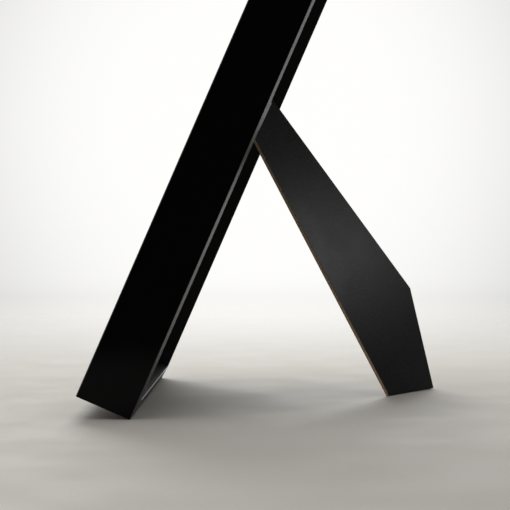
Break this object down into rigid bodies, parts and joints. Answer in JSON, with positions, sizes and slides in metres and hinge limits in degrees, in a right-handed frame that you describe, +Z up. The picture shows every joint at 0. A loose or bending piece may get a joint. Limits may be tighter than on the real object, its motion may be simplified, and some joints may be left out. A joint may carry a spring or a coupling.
{
  "type": "digital photo frame",
  "caption": "Deep box picture frame with a built-in screen, leaning back on a folding tapered easel leg; recessed back with electronics cover and keyhole hangers.",
  "frame": {"origin": "centre of the whole object's box on the surface it stands on, with the leg open", "axes": "+Z up, +Y from the picture's front towards the leg behind, +X to the right of a person facing the picture"},
  "size_m": [0.226, 0.182, 0.2856],
  "materials": {
    "rail_lacquer": "high-gloss black lacquer over fibreboard moulding",
    "bright_steel": "plain bright steel strip",
    "clear_glass": "clear float glass",
    "mat_card": "white card with a fine tooth and a bevel-cut window",
    "black_steel": "black-coated steel sheet",
    "screen_glass": "dark screen with an anti-glare front, switched off",
    "film": "translucent white diffusing film",
    "acrylic": "clear acrylic light guide",
    "led": "white strip with yellow phosphor emitters",
    "tray_metal": "plain pressed aluminium sheet",
    "circuit_board": "green solder mask over glass-fibre laminate",
    "ribbon": "flat white ribbon with a blue stiffener",
    "carrier_plastic": "black moulded plastic",
    "chip_body": "black chip resin",
    "spreader_metal": "extruded aluminium",
    "capacitor_can": "sleeved capacitor can",
    "socket_plastic": "black moulded plastic",
    "socket_shell": "tinned steel shell",
    "speaker_body": "black speaker frame and cone",
    "screw_zinc": "bright zinc-plated screw",
    "panel_board": "black-faced fibreboard with a fine pebbled face",
    "cover_plastic": "black moulded plastic with a spark-eroded texture",
    "screw_black": "black-oxide screw",
    "button_plastic": "satin black button cap",
    "hanger_steel": "zinc-plated pressed steel",
    "hinge_steel": "zinc-plated pressed steel",
    "rivet_steel": "plated steel",
    "raw_fibreboard": "raw brown fibreboard, sawn edges",
    "leg_facing": "black finely pebbled foil"
  },
  "bodies": {
    "frame": {"rail_right": "rail_lacquer", "rail_left": "rail_lacquer", "rail_top": "rail_lacquer", "rail_bottom": "rail_lacquer", "corner_nails": "bright_steel", "framer_points": "bright_steel", "front_glass": "clear_glass", "mat_board": "mat_card", "lcd_bezel": "black_steel", "lcd_cell": "screen_glass", "optical_film": "film", "light_guide": "acrylic", "led_bar": "led", "backlight_tray": "tray_metal", "driver_strip": "circuit_board", "ribbon_cable": "ribbon", "panel_carrier": "carrier_plastic", "main_board": "circuit_board", "processor": "chip_body", "heat_spreader": "spreader_metal", "memory_chips": "chip_body", "capacitors": "capacitor_can", "dc_inlet": "socket_plastic", "usb_socket": "socket_shell", "card_socket": "socket_shell", "tact_switches": "socket_plastic", "speakers": "speaker_body", "board_screws": "screw_zinc", "back_panel": "panel_board", "electronics_cover": "cover_plastic", "cover_screws": "screw_black", "hanger_plates": "hanger_steel", "hanger_screws": "screw_zinc", "hinge_plate": "hinge_steel", "plate_rivets": "rivet_steel", "hinge_pin": "rivet_steel"},
    "leg": {"hinge_leaf": "hinge_steel", "leaf_rivets": "rivet_steel", "leg_board": "raw_fibreboard", "leg_facings": "leg_facing"},
    "button_power": {"button_power": "button_plastic"},
    "button_menu": {"button_menu": "button_plastic"},
    "button_up": {"button_up": "button_plastic"},
    "button_down": {"button_down": "button_plastic"},
    "button_enter": {"button_enter": "button_plastic"}
  },
  "joints": [
    {"name": "leg_fold", "type": "hinge", "parent": "frame", "child": "leg", "pos_m": [0.0478, -0.00949, 0.15085], "axis": [-0.7071, 0.282, 0.6485], "range_deg": [0, 49]},
    {"name": "press_power", "type": "slide", "parent": "frame", "child": "button_power", "axis": [0, -0.9171, 0.3987], "range_m": [0, 0.0008], "stiffness_N_per_m": 300, "springref_m": -0.001},
    {"name": "press_menu", "type": "slide", "parent": "frame", "child": "button_menu", "axis": [0, -0.9171, 0.3987], "range_m": [0, 0.0008], "stiffness_N_per_m": 300, "springref_m": -0.001},
    {"name": "press_up", "type": "slide", "parent": "frame", "child": "button_up", "axis": [0, -0.9171, 0.3987], "range_m": [0, 0.0008], "stiffness_N_per_m": 300, "springref_m": -0.001},
    {"name": "press_down", "type": "slide", "parent": "frame", "child": "button_down", "axis": [0, -0.9171, 0.3987], "range_m": [0, 0.0008], "stiffness_N_per_m": 300, "springref_m": -0.001},
    {"name": "press_enter", "type": "slide", "parent": "frame", "child": "button_enter", "axis": [0, -0.9171, 0.3987], "range_m": [0, 0.0008], "stiffness_N_per_m": 300, "springref_m": -0.001}
  ]
}
